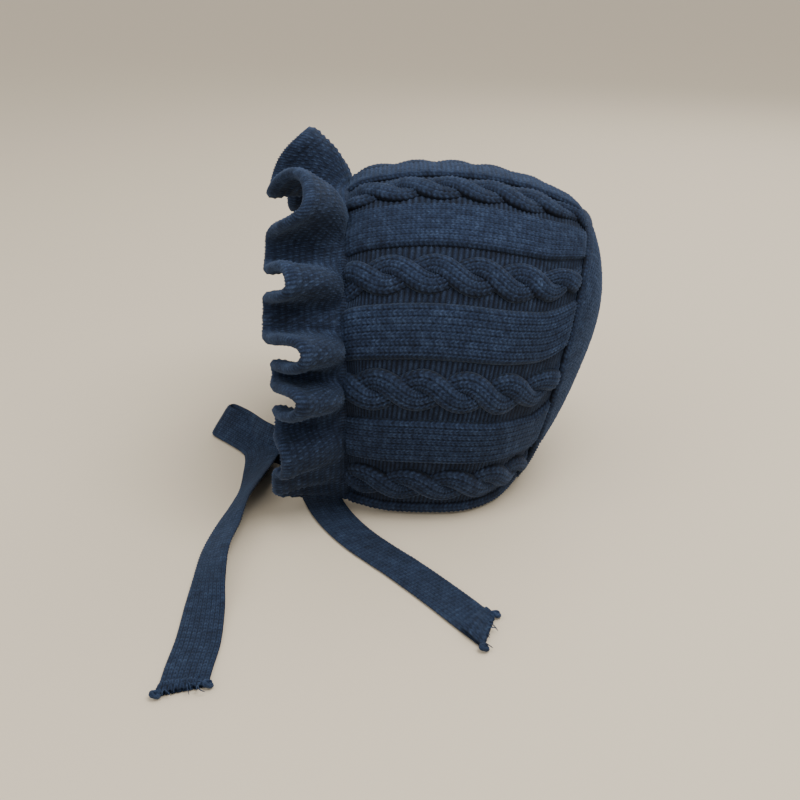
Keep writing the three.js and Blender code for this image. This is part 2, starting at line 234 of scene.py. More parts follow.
# The middle line of the rest of the right tie, which lies flat.
RIGHT_TIE = np.array([
    (-66.0, -11.0),
    (-64.5, -20.0),
    (-60.0, -43.0),
    (-54.5, -62.0),
    (-49.2, -75.4),
    (-43.4, -86.5),
    (-36.7, -97.0),
    (-28.6, -107.5),
    (-20.2, -117.8),
    (-11.4, -129.5),
    (-3.1, -141.0),
    (4.4, -152.0),
    (11.0, -161.5),
])


def smooth(column, place):
    """A smooth value of a table's column at a place between its rows."""
    last = len(column) - 1
    at = np.clip(place, 0, last)
    row = np.minimum(np.floor(at), last - 1).astype(int)
    t = at - row
    first = 2 * column[0] - column[1]
    end = 2 * column[-1] - column[-2]
    padded = np.concatenate([[first], column, [end]])
    before, a, b, after = (padded[row + k] for k in range(4))
    slope_a = (b - before) / 2
    slope_b = (after - a) / 2
    t2 = t * t
    t3 = t2 * t
    ends = a * (2 * t3 - 3 * t2 + 1) + slope_a * (t3 - 2 * t2 + t) + b * (3 * t2 - 2 * t3)
    return ends + slope_b * (t3 - t2)


def unit(v):
    """Vectors of length one."""
    return v / np.maximum(np.linalg.norm(v, axis=-1, keepdims=True), 1e-9)


def form_point(place, angle):
    """A point of the head form: place along the sections, angle in radians from the top."""
    top = smooth(FORM_TOP, place)
    bottom = smooth(FORM_BOTTOM, place)
    half = np.maximum(smooth(FORM_HALF, place), 0)
    rise = np.maximum((top - bottom) / 2, 0)
    x = smooth(FORM_X, place)
    y = half * np.sin(angle)
    z = (top + bottom) / 2 + rise * np.cos(angle)
    return np.stack(np.broadcast_arrays(x, y, z), -1)


def form_normal(place, angle):
    """The outward direction of the head form."""
    step = 0.02
    back = form_point(np.minimum(place + step, LAST_ROW - step), angle)
    along = back - form_point(np.minimum(place, LAST_ROW - 2 * step) - step, angle)
    around = form_point(place, angle + step) - form_point(place, angle - step)
    return unit(np.cross(along, around))


DENSE_PLACES = np.linspace(0, LAST_ROW, 1201)
DENSE_X = smooth(FORM_X, DENSE_PLACES)


def place_at_x(x):
    """The place along the sections that lies at a distance back."""
    return np.interp(x, DENSE_X, DENSE_PLACES)


def neck_angle(place):
    """How far round the form the neck edge lies."""
    top = smooth(FORM_TOP, place)
    bottom = smooth(FORM_BOTTOM, place)
    rise = np.maximum((top - bottom) / 2, 1e-6)
    near = np.maximum(0, 1 - (smooth(FORM_X, place) - CROWN_FRONT) / CORNER_LENGTH)
    height = CORNER_LIFT * near * near * (3 - 2 * near)
    return np.arccos(np.clip((height - (top + bottom) / 2) / rise, -NAPE_LIMIT, 1))


def wale_angle(share, place):
    """The angle of a wale, by its share of the way from the top to the neck edge."""
    wrap = np.radians(smooth(FORM_WRAP, place))
    pull = (neck_angle(place) - wrap) * np.abs(share) ** EDGE_PULL
    return share * wrap + np.sign(share) * pull


def seam_place(share):
    """Where the crown's back seam crosses a wale."""
    rows = np.arange(len(BACK_SEAM))
    at = np.interp(np.abs(share), BACK_SEAM[:, 0], rows)
    return place_at_x(smooth(BACK_SEAM[:, 1], at))


def crown_skin(share, t, lift=0.0):
    """A point over the crown: t from the front seam, 0, to the back seam, 1."""
    share, t, lift = np.broadcast_arrays(share, t, lift)
    place = seam_place(share) * t
    angle = wale_angle(share, place)
    behind = t / PUCKER_REACH
    pucker = np.sin(PUCKERS * share) + 0.6 * np.sin(PUCKERS * 0.61 * share + 2)
    lift = lift + PUCKER_RISE * (pucker - 0.7) * behind * np.exp(1 - behind)
    return form_point(place, angle) + form_normal(place, angle) * lift[..., None]


class WaleRun:
    """How long a wale of the crown is, and where a distance along it lies."""

    def __init__(self, share):
        self.t = np.linspace(0, 1, 240)
        line = crown_skin(np.full_like(self.t, share), self.t)
        steps = np.linalg.norm(np.diff(line, axis=0), axis=1)
        self.distance = np.concatenate([[0], np.cumsum(steps)])
        self.length = self.distance[-1]

    def place(self, distance):
        return np.interp(distance, self.distance, self.t)


# ---------------------------------------------------------------- stitches

# Heights of a knit stitch's grid: rows are its groove and its crest, columns its wale's edge,
# left leg, middle and right leg.
# These heights also set the painted shade in a stitch's grooves and the painted light on its crests, through
# the relief attribute.
KNIT = np.array([(-1.0, -0.2, -0.7, -0.2), (-0.6, 1.0, 0.0, 1.0)])


def stitch_grid(wales, rows):
    """Across, along and height of a sheet of knit stitches, four columns and two rows to a stitch."""
    across = np.arange(4 * wales + 1) / 4
    along = np.arange(2 * rows + 1) / 2
    u, v = np.meshgrid(across, along)
    column = np.arange(len(across)) % 4
    row = np.arange(len(along)) % 2
    height = KNIT[row[:, None], column[None, :]].copy()
    uneven = RNG.normal(1.0, UNEVEN_STITCHES, height.shape)
    height *= uneven
    v = np.clip(v + V_SLANT * np.abs(2 * (u % 1) - 1) - V_SLANT / 2, 0, rows)
    return u, v, height


# ---------------------------------------------------------------- meshes

def deselect():
    """Leaves edit mode, with nothing selected."""
    if bpy.context.mode != "OBJECT":
        bpy.ops.object.mode_set(mode="OBJECT")
    bpy.ops.object.select_all(action="DESELECT")


def sheet_mesh(name, points, height, uv=None, loop=None):
    """A sheet through a grid of points. loop is "across" or "along" where the grid meets itself."""
    rows, columns = points.shape[:2]
    points[..., 2] = np.maximum(points[..., 2], TABLE_CLEAR)
    deselect()
    bpy.ops.mesh.primitive_grid_add(x_subdivisions=columns - 1, y_subdivisions=rows - 1, size=1)
    piece = bpy.context.object
    piece.name = name
    mesh = piece.data
    mesh.name = name
    mesh.vertices.foreach_set("co", ((points + SHIFT) * MM).astype(np.float32).ravel())
    # The heights are kept as the relief attribute, from which the wool paints shade in the grooves and light
    # on the crests.
    groove_shade = mesh.attributes.new("relief", "FLOAT", "POINT")
    groove_shade.data.foreach_set("value", np.asarray(height, np.float32).ravel())
    if uv is not None:
        corners = np.zeros(len(mesh.loops), np.int32)
        mesh.loops.foreach_get("vertex_index", corners)
        flat = np.stack(uv, -1).reshape(-1, 2)[corners]
        mesh.uv_layers.active.data.foreach_set("uv", flat.astype(np.float32).ravel())
    mesh.update()
    if loop:
        bpy.ops.object.mode_set(mode="EDIT")
        bpy.ops.mesh.select_all(action="SELECT")
        bpy.ops.mesh.remove_doubles(threshold=1e-6)
        bpy.ops.mesh.select_all(action="DESELECT")
        bpy.ops.mesh.select_non_manifold(extend=False)
        bpy.ops.mesh.fill_holes(sides=FILL_SIDES)
        bpy.ops.object.mode_set(mode="OBJECT")
    bpy.ops.object.shade_smooth()
    return piece


def thicken(piece, wall):
    """Gives a sheet its wall, inwards from its face."""
    deselect()
    piece.select_set(True)
    bpy.context.view_layer.objects.active = piece
    solid = piece.modifiers.new("wall", "SOLIDIFY")
    solid.thickness = wall * MM
    solid.offset = -1
    solid.use_even_offset = False
    bpy.ops.object.modifier_apply(modifier=solid.name)


def rest_on_table(piece):
    """Flattens what a wall's thickness pushed under the table."""
    co = np.zeros(len(piece.data.vertices) * 3, np.float32)
    piece.data.vertices.foreach_get("co", co)
    co[2::3] = np.maximum(co[2::3], TABLE_CLEAR * MM)
    piece.data.vertices.foreach_set("co", co)
    piece.data.update()


def join(name, pieces):
    """Several meshes as one, under one name."""
    deselect()
    for piece in pieces:
        piece.select_set(True)
    bpy.context.view_layer.objects.active = pieces[0]
    bpy.ops.object.join()
    joined = bpy.context.object
    joined.name = name
    joined.data.name = name
    return joined


# ---------------------------------------------------------------- crown

def share_of(degrees):
    """The share of the way down to the neck edge, for degrees round the front seam."""
    return degrees / FORM_WRAP[0]


def sewn_taper(distance, length, depth, reach):
    """How far a strip sinks near the seams at both of its ends."""
    end = np.minimum(distance, length - distance)
    return depth * np.clip(1 - end / reach, 0, 1) ** 2


def crown_ground():
    """The sunken ground of the crown: ladder bars on its outside, purl bumps on its inside."""
    share = np.linspace(-1, 1, 2 * CROWN_WALES + 1)
    rows = int(round(WaleRun(0.4).length / ROW))
    along = np.arange(2 * rows + 1) / 2
    odd = (np.arange(len(along)) % 2)[:, None]
    course = (np.arange(len(along)) // 2)[:, None] % 2
    column = np.arange(len(share))[None, :]
    free = (np.abs(share) < 0.999)[None, :]
    u, v = np.meshgrid(share, along)
    bars = np.where(odd == 1, 0.5, -0.7) * free
    bumps = np.where((odd == 1) & (column % 2 == course), 0.9, -0.5) * free
    outside = crown_skin(u, v / rows, -GROUND_DEPTH + 0.45 * bars)
    inside = crown_skin(u, v / rows, -CROWN_WALL - 0.22 * bumps)[:, ::-1]
    points = np.concatenate([outside, inside, outside[:, :1]], axis=1)
    # Painted shade: the outside of the sunken ground is darkened throughout by half a step of relief,
    # besides the shade between its bars.
    height = np.concatenate([bars - 0.5, bumps[:, ::-1], bars[:, :1] - 0.5], axis=1)
    # At both ends the two faces close onto one line in the middle of the wall.
    core = -(GROUND_DEPTH + CROWN_WALL) / 2
    ends = [crown_skin(share, np.full(len(share), t), core) for t in (0.0, 1.0)]
    front, back = (np.concatenate([end, end[::-1], end[:1]])[None] for end in ends)
    points = np.concatenate([front, points, back])
    height = np.concatenate([height[:1], height, height[-1:]])
    u = np.concatenate([u, u[:, ::-1], u[:, :1]], axis=1) * CROWN_WALES / 2
    u = np.concatenate([u[:1], u, u[-1:]])
    v = np.repeat(np.concatenate([along[:1], along, along[-1:]])[:, None], u.shape[1], axis=1)
    return sheet_mesh("crown_ground", points, height, (u, v), loop="across")


def stitched_strip(name, low, high, wales):
    """A raised strip of plain knit between two angles of the front seam."""
    run = WaleRun(share_of((low + high) / 2))
    rows = int(round(run.length / ROW))
    u, v, height = stitch_grid(wales, rows)
    q = 2 * u / wales - 1
    edge = np.clip((1 - np.abs(q)) * wales / 1.9, 0, 1)
    distance = v / rows * run.length
    dome = 0.5 - 2.6 * (1 - edge) ** 2.2 - sewn_taper(distance, run.length, 1.5, 5)
    lift = dome + height * STITCH_RELIEF * edge ** 0.5
    share = share_of(low + (high - low) * u / wales)
    t = run.place(distance)
    t[0] = 0
    t[-1] = 1
    points = crown_skin(share, t, lift)
    under = crown_skin(share[:, [-2, 2]], t[:, [-2, 2]], -GROUND_DEPTH - STRIP_ROOT)
    points = np.concatenate([points, under, points[:, :1]], axis=1)
    # Painted shade: the hidden underside is darkest, and the colour darkens where the strip rolls down at
    # its edges.
    shaded_underside = np.full((len(v), 2), -1.0)
    height = height - 0.8 * (1 - edge) ** 2
    height = np.concatenate([height, shaded_underside, height[:, :1]], axis=1)
    u = np.concatenate([u, u[:, -2:], u[:, :1]], axis=1)
    v = np.concatenate([v, v[:, -2:], v[:, :1]], axis=1)
    return sheet_mesh(name, points, height, (u, v), loop="across")


def cable_strand(name, cable, phase, side):
    """One of the two strands that twist round each other in a cable."""
    run = WaleRun(share_of(cable))
    rows = int(round(run.length * 1.12 / ROW))
    u, v, height = stitch_grid(STRAND_WALES, rows)
    q = 2 * u / STRAND_WALES - 1
    distance = v / rows * run.length
    turn = math.pi * (distance / CABLE_PITCH) + phase
    narrow = np.clip((run.length - distance) / 26, 0.45 if cable < 20 else 0.85, 1)
    swing = CABLE_SWING * narrow
    half = STRAND_HALF * narrow
    centre = swing * np.sin(turn)
    slope = swing * math.pi / CABLE_PITCH * np.cos(turn)
    length = np.sqrt(1 + slope * slope)
    along = distance - q * half * slope / length
    across = centre + q * half / length
    rise = 0.95 + 1.15 * np.cos(turn) - sewn_taper(distance, run.length, 2.6, 7)
    dome = np.sqrt(np.maximum(1 - np.abs(q) ** 2.2, 0))
    fade = np.clip(3 * (1 - np.abs(q)), 0, 1)
    lift = rise - STRAND_DEPTH + STRAND_DEPTH * dome + height * STITCH_RELIEF * fade
    lift = np.maximum(lift, -GROUND_DEPTH - STRIP_ROOT)
    t = run.place(np.clip(along, 0, run.length))
    share = share_of(cable)
    step = 0.01
    wide = crown_skin(np.full_like(t, share + step), t) - crown_skin(np.full_like(t, share - step), t)
    scale = np.linalg.norm(wide, axis=-1) / (2 * step)
    share = side * (share + across / scale)
    points = crown_skin(share, t, lift)
    under = crown_skin(share[:, [-3, 2]], t[:, [-3, 2]], -GROUND_DEPTH - 0.65)
    points = np.concatenate([points, under, points[:, :1]], axis=1)
    # Painted shade: darker towards the strand's sides and where it dips under the other strand, and darkest
    # on the hidden underside.
    height = height - 0.9 * np.clip(np.abs(q) - 0.6, 0, 1) / 0.4 - 0.35 * (1 - np.cos(turn)) / 2
    height = np.concatenate([height, np.full((len(v), 2), -1.0), height[:, :1]], axis=1)
    u = np.concatenate([u, u[:, -2:], u[:, :1]], axis=1)
    v = np.concatenate([v, v[:, -2:], v[:, :1]], axis=1)
    if side < 0:
        points = points[:, ::-1]
        height = height[:, ::-1]
        u = u[:, ::-1]
        v = v[:, ::-1]
    return sheet_mesh(name, points, height, (u, v), loop="across")


def crown_strips():
    """The plain panels between the cables, on the top and on both sides."""
    edges = [cable + GUTTER_HALF - 0.5 for cable in CABLES]
    starts = [cable - GUTTER_HALF + 0.5 for cable in CABLES]
    strips = [stitched_strip("top", -starts[0], starts[0], 9)]
    bands = list(zip(edges, starts[1:] + [FORM_WRAP[0]], (9, 8, 8, 2)))
    for k, (low, high, wales) in enumerate(bands):
        strips.append(stitched_strip(f"right{k}", low, high, wales))
        strips.append(stitched_strip(f"left{k}", -high, -low, wales))
    return strips


# ---------------------------------------------------------------- ruffle

def front_seam():
    """The gathered seam between the crown and the ruffle: a round of stitches from end to end."""
    share = np.linspace(-1, 1, 4000)
    line = crown_skin(share, np.zeros_like(share))
    steps = np.linalg.norm(np.diff(line, axis=0), axis=1)
    run = np.concatenate([[0], np.cumsum(steps)])
    rows = int(round(run[-1] / SEAM_STITCH))
    share = np.interp(np.linspace(0, run[-1], 2 * rows + 1), run, share)
    turn = np.linspace(0, 2 * math.pi, 13)
    share, turn = np.meshgrid(share, turn, indexing="ij")
    stitch = np.where(np.arange(share.shape[0]) % 2 == 1, 1.0, -1.0)[:, None] * np.ones_like(turn)
    radius = SEAM_CORD + 0.2 * stitch
    radius[0] = 0.7
    radius[-1] = 0.7
    points = crown_skin(share, 0.0, -SEAM_CORD - 0.1 + radius * np.cos(turn))
    points[..., 0] += 0.5 + radius * np.sin(turn)
    points[..., 2] = np.maximum(points[..., 2], TABLE_CLEAR)
    # Painted shade: every other row of the round is darkened, between its stitches, and the whole round a
    # little darker.
    rise = stitch * 0.6 - 0.5
    along = np.arange(share.shape[0])[:, None] * np.ones_like(turn) / 2
    return sheet_mesh("front_seam", points, rise, (turn, along), loop="across")


def eased(column, degrees):
    """A column of the flutes' table, level at every flute, and the meander between two flutes."""
    angles = FLUTES[:, 0]
    place = np.interp(degrees, angles, np.arange(len(angles)))
    row = np.minimum(np.floor(place), len(angles) - 2).astype(int)
    share = place - row
    ease = (1 - np.cos(np.pi * share)) / 2
    values = FLUTES[:, column]
    width = np.radians(angles[row + 1] - angles[row]) * FORM_HALF[0]
    return values[row] + (values[row + 1] - values[row]) * ease, MEANDER * width * np.sin(2 * np.pi * share)


def ruffle_middle(degrees, q):
    """The middle of the ruffle's wall: angle round the seam, q from the seam to the free edge."""
    flare, meander = eased(1, degrees)
    sway, _ = eased(2, degrees)
    depth = RUFFLE_DEPTH * eased(3, degrees)[0]
    flare = np.radians(flare)
    sway = sway + meander
    angle = np.radians(degrees)
    zero = np.zeros_like(angle)
    seam = form_point(zero, angle)
    out = form_normal(zero + 0.4, angle)
    out[..., 0] = 0
    out = unit(out)
    sideways = np.stack([zero, np.cos(angle), -np.sin(angle)], -1)
    first = ROOT_FLARE * flare
    turn = -RETURN_FLARE * flare - 0.05
    forward = depth * (np.sin(first + turn * q) - np.sin(first)) / turn
    outward = depth * (np.cos(first) - np.cos(first + turn * q)) / turn
    aside = sway * np.maximum(q, 0) ** 1.6
    point = seam + out * (outward - RUFFLE_WALL / 2)[..., None] + sideways * aside[..., None]
    point[..., 0] = seam[..., 0] + SEAM_LAP - forward
    floor = RUFFLE_WALL / 2 + 0.02
    above = point[..., 2] - floor
    point[..., 2] = floor + (above + np.sqrt(above * above + 4)) / 2
    return point


def ruffle_columns(count):
    """Angles round the seam, so spaced that the free edge is evenly divided."""
    dense = np.linspace(FLUTES[0, 0], FLUTES[-1, 0], 4000)
    edge = ruffle_middle(dense, np.full_like(dense, 0.8))
    steps = np.linalg.norm(np.diff(edge, axis=0), axis=1)
    run = np.concatenate([[0], np.cumsum(steps)])
    return np.interp(np.linspace(0, run[-1], count), run, dense), run[-1]


def ruffle():
    """The fluted band: outer face, rolled free edge, inner face, all in one closed sheet."""
    count = 2 * RUFFLE_WALES + 1
    degrees, edge_length = ruffle_columns(count)
    deep = RUFFLE_ROWS
    q_face = np.linspace(0, 1, deep + 1)
    bend = np.linspace(0, math.pi, 7)[1:-1]
    q = np.concatenate([q_face, np.full(len(bend), 1.0), q_face[::-1], [0]])
    side = np.concatenate([np.ones(deep + 1), np.cos(bend), -np.ones(deep + 1), [1]])
    push = np.concatenate([np.zeros(deep + 1), np.sin(bend), np.zeros(deep + 1), [0]])
    d, qq = np.meshgrid(degrees, q)
    middle = ruffle_middle(d, qq)
    nudge = 0.15
    around = ruffle_middle(d + nudge, qq) - ruffle_middle(d - nudge, qq)
    dip = 0.02
    down = unit(ruffle_middle(d, qq + dip) - ruffle_middle(d, qq - dip))
    normal = unit(np.cross(around, down))
    rows = np.arange(len(q))
    columns = np.arange(count)
    seed = np.where((rows[:, None] // 2 + columns[None, :] // 2) % 2, 1.0, -0.2)
    seed = np.where((rows[:, None] % 2 == 1) & (columns[None, :] % 2 == 1), seed, -0.7)
    seed = seed * RNG.normal(1.0, 0.18, seed.shape)
    ribs = np.where(columns % 2 == 1, 0.9, -0.8)[None, :] * np.ones((len(q), 1))
    at_edge = np.clip((qq - 0.9) / 0.05, 0, 1)
    height = seed * (1 - 0.6 * at_edge) + 0.6 * ribs * at_edge
    swell = 0.9 * np.exp(-(((qq - 0.93) / 0.1) ** 2))
    half = RUFFLE_WALL / 2 + swell - 0.25
    offset = half[..., None] * (normal * side[:, None, None] + down * push[:, None, None])
    outward = unit(normal * side[:, None, None] + down * push[:, None, None])
    relief = outward * (height * SEED_RELIEF)[..., None]
    points = middle + offset + relief
    points[0, :, 0] = CROWN_FRONT + SEAM_LAP
    points[deep + len(bend) + deep + 1, :, 0] = CROWN_FRONT + SEAM_LAP
    points[-1] = points[0]
    height[-1] = height[0]
    # At both ends the two faces close onto one line in the middle of the wall.
    points = np.concatenate([middle[:, :1], points, middle[:, -1:]], axis=1)
    height = np.concatenate([height[:, :1], height, height[:, -1:]], axis=1)
    columns = np.concatenate([columns[:1], columns, columns[-1:]])
    u, v = np.meshgrid(columns / 2.0, rows / 2.0)
    return sheet_mesh("ruffle", points[:, ::-1], height[:, ::-1], (u, v), loop="along"), edge_length


# ---------------------------------------------------------------- back panel

def form_at(y, z):
    """The place of the form's back whose section passes through a point seen from behind."""
    low = np.full(y.shape, 3.0)
    high = np.full(y.shape, float(LAST_ROW))
    for _ in range(34):
        middle = (low + high) / 2
        top = smooth(FORM_TOP, middle)
        bottom = smooth(FORM_BOTTOM, middle)
        half = np.maximum(smooth(FORM_HALF, middle), 1e-3)
        rise = np.maximum((top - bottom) / 2, 1e-3)
        inside = (y / half) ** 2 + ((z - (top + bottom) / 2) / rise) ** 2 < 1
        low = np.where(inside, middle, low)
        high = np.where(inside, high, middle)
    return (low + high) / 2


def panel_outline():
    """The back panel's outline seen from behind, as its reach in each direction from its middle."""
    share = np.linspace(-1, 1, 1200)
    rim = crown_skin(share, np.ones_like(share))
    y = np.concatenate([rim[:, 1], np.linspace(rim[-1, 1], rim[0, 1], 300)[1:-1]])
    z = np.concatenate([rim[:, 2], np.zeros(298)]) - PANEL_MIDDLE
    bearing = np.arctan2(y, z)
    order = np.argsort(bearing)
    return bearing[order], np.hypot(y, z)[order]


def back_panel():
    """The plain knit of the back, whose wales run from the top down to the nape."""
    u, v, height = stitch_grid(PANEL_WALES, PANEL_ROWS)
    across = 2 * u / PANEL_WALES - 1
    up = 1 - 2 * v / PANEL_ROWS
    disc_y = across * np.sqrt(1 - up * up / 2)
    disc_z = up * np.sqrt(1 - across * across / 2)
    bearing, reach = panel_outline()
    toward = np.arctan2(disc_y, disc_z)
    radius = np.hypot(disc_y, disc_z) * np.interp(toward, bearing, reach, period=2 * math.pi)
    direction = unit(np.stack([disc_y, disc_z], -1))
    y = radius * direction[..., 0]
    z = radius * direction[..., 1] + PANEL_MIDDLE
    place = form_at(y, z)
    rise = (smooth(FORM_TOP, place) - smooth(FORM_BOTTOM, place)) / 2
    middle = (smooth(FORM_TOP, place) + smooth(FORM_BOTTOM, place)) / 2
    angle = np.arctan2(y / np.maximum(smooth(FORM_HALF, place), 1e-3), (z - middle) / np.maximum(rise, 1e-3))
    point = form_point(place, angle)
    normal = form_normal(np.minimum(place, LAST_ROW - 0.1), angle)
    rim = np.clip((1 - np.hypot(disc_y, disc_z)) / 0.04, 0, 1)
    lift = -0.9 * (1 - rim) ** 2 + height * STITCH_RELIEF * (0.3 + 0.7 * rim)
    points = point + normal * lift[..., None]
    sheet = sheet_mesh("panel", points[:, ::-1], height[:, ::-1], (u[:, ::-1], v[:, ::-1]))
    thicken(sheet, PANEL_WALL)
    rest_on_table(sheet)
    return join("back_panel_knit", [sheet, seam_ridge()])


def seam_ridge():
    """The sewn ridge where the back panel meets the crown, two wales wide, from nape to nape."""
    share = np.linspace(-1, 1, 4000)
    line = crown_skin(share, np.ones_like(share))
    steps = np.linalg.norm(np.diff(line, axis=0), axis=1)
    run = np.concatenate([[0], np.cumsum(steps)])
    rows = int(round(run[-1] / ROW))
    u, v, height = stitch_grid(RIDGE_WALES, rows)
    q = 2 * u / RIDGE_WALES - 1
    share = np.interp(v / rows * run[-1], run, share)
    place = seam_place(share)
    angle = wale_angle(share, place)
    step = 0.05
    ahead = form_point(place + step, angle) - form_point(place - step, angle)
    place = place + (q * RIDGE_HALF + RIDGE_BACK) * 2 * step / np.linalg.norm(ahead, axis=-1)
    lift = RIDGE_RISE * np.sqrt(np.maximum(1 - q * q, 0)) - 0.9 + height * 0.45 * (1 - q ** 4)
    points = form_point(place, angle) + form_normal(place, angle) * lift[..., None]
    under = form_point(place, angle) - form_normal(place, angle) * 1.9
    points = np.concatenate([points, under[:, [-3, 2]], points[:, :1]], axis=1)
    # Painted shade: darker towards the ridge's sides, and darkest on its hidden underside.
    height = np.concatenate([height - np.abs(q) ** 2, np.full((len(v), 2), -1.0), height[:, :1]], axis=1)
    u = np.concatenate([u, u[:, -2:], u[:, :1]], axis=1)
    v = np.concatenate([v, v[:, -2:], v[:, :1]], axis=1)
    return sheet_mesh("ridge", points[:, ::-1], height[:, ::-1], (u[:, ::-1], v[:, ::-1]), loop="across")


# ---------------------------------------------------------------- ties

def resample(rows, step):
    """Smooth rows of a table, spaced evenly along the middle of the strip."""
    dense = np.linspace(0, len(rows) - 1, 3000)
    line = np.stack([smooth(rows[:, k], dense) for k in range(rows.shape[1])], -1)
    middle = (line[:, :3] + line[:, 3:]) / 2
    steps = np.linalg.norm(np.diff(middle, axis=0), axis=1)
    run = np.concatenate([[0], np.cumsum(steps)])
    count = int(round(run[-1] / step))
    at = np.interp(np.linspace(0, run[-1], 2 * count + 1), run, dense)
    return np.stack([smooth(rows[:, k], at) for k in range(rows.shape[1])], -1), count, run[-1]


def flat_edges(line):
    """Both edges of a strip that lies flat along a middle line."""
    dense = np.arange(len(line), dtype=float)
    ahead = np.stack([smooth(line[:, k], dense + 0.05) for k in range(2)], -1)
    behind = np.stack([smooth(line[:, k], dense - 0.05) for k in range(2)], -1)
    run = unit(ahead - behind)
    side = np.stack([-run[:, 1], run[:, 0]], -1) * TIE_WIDTH / 2
    rest = np.full((len(line), 1), TIE_REST)
    return np.concatenate([line - side, rest, line + side, rest], axis=1)


def strip_grid(edges, u_line, v, count):
    """Points of a strip between its two edges, and the direction of its face."""
    row = np.clip(v / count, 0, 1) * (len(edges) - 1)
    base = np.minimum(row.astype(int), len(edges) - 2)
    part = (row - base)[..., None]
    low = edges[base, :3] * (1 - part) + edges[base + 1, :3] * part
    high = edges[base, 3:] * (1 - part) + edges[base + 1, 3:] * part
    normal = unit(np.cross(high - low, np.gradient((low + high) / 2, axis=0)))
    return low + (high - low) * u_line[None, :, None], normal


def strip_mesh(name, edges, count, base, wall, relief):
    """A ribbed strip of stitches, both faces and both long edges in one sheet."""
    u, v, height = stitch_grid(TIE_WALES, count)
    u_line = u[0] / TIE_WALES
    middle, normal = strip_grid(edges, u_line, v, count)
    bulge = np.sqrt(np.clip(1 - np.abs(2 * u_line - 1) ** 8, 0.05, 1))[None, :, None]
    thick = wall / 2 * bulge + (height * relief)[..., None]
    middle = middle + normal * base(u / TIE_WALES, v / count)[..., None]
    front = middle + normal * thick
    back = middle - normal * thick
    points = np.concatenate([front, back[:, ::-1], front[:, :1]], axis=1)
    height = np.concatenate([height, height[:, ::-1], height[:, :1]], axis=1)
    uu = np.concatenate([u, u[:, ::-1] + TIE_WALES, u[:, :1] + 2 * TIE_WALES], axis=1)
    vv = np.concatenate([v, v[:, ::-1], v[:, :1]], axis=1)
    return sheet_mesh(name, points[:, ::-1], height[:, ::-1], (uu[:, ::-1], vv[:, ::-1]), loop="across")


def yarn(name, line, radius):
    """A thin closed strand of yarn along a line, tapered at both ends."""
    line = np.asarray(line, float)
    run = unit(np.gradient(line, axis=0))
    side = unit(np.cross(run, [0.31, 0.17, 0.93]))
    up = np.cross(side, run)
    along = np.linspace(0, 1, len(line))
    width = radius * np.clip(6 * np.minimum(along, 1 - along) + 0.25, 0, 1)
    angle = np.linspace(0, 2 * math.pi, 7)
    ring = side[:, None] * np.cos(angle)[:, None] + up[:, None] * np.sin(angle)[:, None]
    points = line[:, None] + ring * width[:, None, None]
    # The yarn gets a near-crest relief, so it takes the painted light of a stitch's crest and none of the
    # groove shade.
    return sheet_mesh(name, points, np.full(points.shape[:2], 0.6), loop="across")


def frayed_end(edges, out):
    """Knots at the corners of a cut end, and loose yarn along it."""
    strands = []
    low = edges[-1, :3]
    high = edges[-1, 3:]
    for corner in (low, high):
        turn = np.linspace(0, 5.2 * math.pi, 44)
        wobble = 1.15 + 0.35 * np.sin(2.3 * turn)
        coil = np.stack([wobble * np.cos(turn), wobble * np.sin(turn), 0.9 + 0.6 * np.sin(0.8 * turn)], -1)
        strands.append(yarn("knot", corner + coil + out * 0.6, KNOT_YARN))
    for _ in range(FRAY_STRANDS):
        start = low + (high - low) * RNG.uniform(0.04, 0.96) - out * RNG.uniform(0.5, 3.5)
        way = unit(out + 0.9 * unit(high - low) * RNG.normal())
        bend = RNG.normal(0, 1.1, 2)
        t = np.linspace(0, 1, 12)[:, None]
        reach = RNG.uniform(2.2, 5.0)
        line = start + way * reach * t
        lift = 0.5 + 1.4 * np.sin(math.pi * t)
        line = line + np.concatenate([bend[0] * t * t, bend[1] * np.sin(3 * t), lift], 1)
        strands.append(yarn("fray", line, FRAY_YARN))
    return strands


def tie(name, rows, hem_rows, hem_rise, cut_low, cut_high):
    """A ribbed tie with a turned hem and a frayed end, its edges lengthened to the slant of the cut."""
    edges, count, length = resample(rows, ROW)
    way = unit(edges[-1, :3] + edges[-1, 3:] - edges[-3, :3] - edges[-3, 3:])
    slant = np.clip(1 - (len(edges) - 1 - np.arange(len(edges))) / SLANT_STEPS, 0, 1)[:, None] ** 1.5
    edges[:, :3] += way * slant * cut_low
    edges[:, 3:] += way * slant * cut_high
    flat = strip_mesh(name, edges, count, lambda u, v: 0 * u, TIE_WALL, TIE_RELIEF)
    out = unit(edges[-1, :3] + edges[-1, 3:] - edges[-3, :3] - edges[-3, 3:])
    back = 2 * (hem_rows + HEM_LAP)
    tail = edges[-back - 1:] + np.tile(out * 0.5, 2)

    def turned(u, v):
        """How high the hem's turned layer stands over the tie, wavy across it."""
        return -hem_rise * np.sin(0.5 * math.pi * np.clip(1.15 - v, 0, 1)) * (0.8 + 0.35 * np.sin(5 * u))

    hem = strip_mesh("hem", tail, hem_rows + HEM_LAP, turned, HEM_WALL, TIE_RELIEF)
    cut_end = join(name.replace("_rib", "_end"), [hem] + frayed_end(edges, out))
    path = ((edges[:, :3] + edges[:, 3:]) / 2 + SHIFT) * MM
    return flat, cut_end, path[::4], length * MM


# ---------------------------------------------------------------- materials

def node(tree, kind, **inputs):
    """A shader node with some of its sockets set."""
    made = tree.nodes.new(kind)
    for key, value in inputs.items():
        made.inputs[key.replace("_", " ")].default_value = value
    return made


